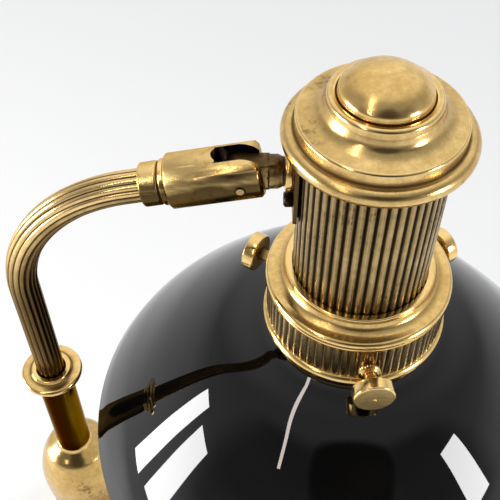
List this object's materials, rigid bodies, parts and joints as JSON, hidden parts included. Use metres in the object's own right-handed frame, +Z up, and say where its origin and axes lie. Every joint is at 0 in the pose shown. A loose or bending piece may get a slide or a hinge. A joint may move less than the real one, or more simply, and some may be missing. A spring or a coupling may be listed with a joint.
{
  "type": "table lamp",
  "caption": "Brass table lamp with a reeded swan-neck arm, slotted knuckle joint, reeded lampholder cover and a glossy black glass dome shade held by thumbscrews",
  "frame": {"origin": "centre of the face the base stands on, on the post axis", "axes": "+Z up, +X along the arm from the post to the head"},
  "size_m": [0.31, 0.2002, 0.444],
  "materials": {
    "brass": "aged, polished, with brown tarnish in the grooves",
    "steel": "darkened",
    "iron": "raw casting",
    "rubber": "matte",
    "black_plastic": "gloss",
    "black_glass": "mirror gloss",
    "porcelain": "glazed",
    "bulb_glass": "opal"
  },
  "bodies": {
    "stand": {"base_pad": "rubber", "base_plate": "steel", "base_shell": "brass", "base_weight": "iron", "tie_tube": "steel", "tie_washer": "steel", "tie_nut": "steel", "cord_bush": "black_plastic", "switch_body": "black_plastic", "switch_bezel": "brass", "column_foot": "brass", "column_tube": "brass", "column_vase": "brass", "post_tube": "brass", "collar": "brass"},
    "button": {"switch_button": "black_plastic"},
    "arm": {"arm_spigot": "brass", "swing_washer": "steel", "swing_ring": "steel", "arm_tube": "brass", "arm_ferrule": "brass", "knuckle_barrel": "brass", "knuckle_pin": "brass"},
    "tongue": {"knuckle_tongue": "brass", "swivel_grub": "steel"},
    "head": {"swivel_stud": "brass", "swivel_washer": "steel", "stud_nut": "steel", "bracket_plate": "brass", "bracket_screw": "steel", "bracket_nut": "steel", "holder_shell": "brass", "cap": "brass", "cap_finial": "brass", "gallery_ring": "brass", "gallery_skirt": "brass", "gallery_rim": "brass", "screw_bosses": "brass", "shade": "black_glass", "holder_nipple": "steel", "nipple_nut": "brass", "holder_core": "porcelain", "holder_socket": "brass", "holder_contact": "brass", "bulb_cap": "steel", "bulb_glass": "bulb_glass"},
    "screw_1": {"thumb_screw_1": "brass"},
    "screw_2": {"thumb_screw_2": "brass"},
    "screw_3": {"thumb_screw_3": "brass"}
  },
  "joints": [
    {"name": "arm_swing", "type": "hinge", "parent": "stand", "child": "arm", "pos_m": [0, 0, 0.3], "axis": [0, 0, 1], "range_deg": [-170, 170]},
    {"name": "head_tilt", "type": "hinge", "parent": "arm", "child": "tongue", "pos_m": [0.0753, 0, 0.4074], "axis": [0, -1, 0], "range_deg": [0, 90]},
    {"name": "head_swivel", "type": "hinge", "parent": "tongue", "child": "head", "pos_m": [0.0858, 0, 0.4074], "axis": [1, 0, 0], "range_deg": [-90, 90]},
    {"name": "button_press", "type": "slide", "parent": "stand", "child": "button", "axis": [0, 0, -1], "range_m": [0, 0.003], "stiffness_N_per_m": 600, "springref_m": -0.002},
    {"name": "screw_1_out", "type": "slide", "parent": "head", "child": "screw_1", "axis": [0.0698, -0.9976, 0], "range_m": [0, 0.004]},
    {"name": "screw_2_out", "type": "slide", "parent": "head", "child": "screw_2", "axis": [0.829, 0.5592, 0], "range_m": [0, 0.004]},
    {"name": "screw_3_out", "type": "slide", "parent": "head", "child": "screw_3", "axis": [-0.866, 0.5, 0], "range_m": [0, 0.004]}
  ]
}
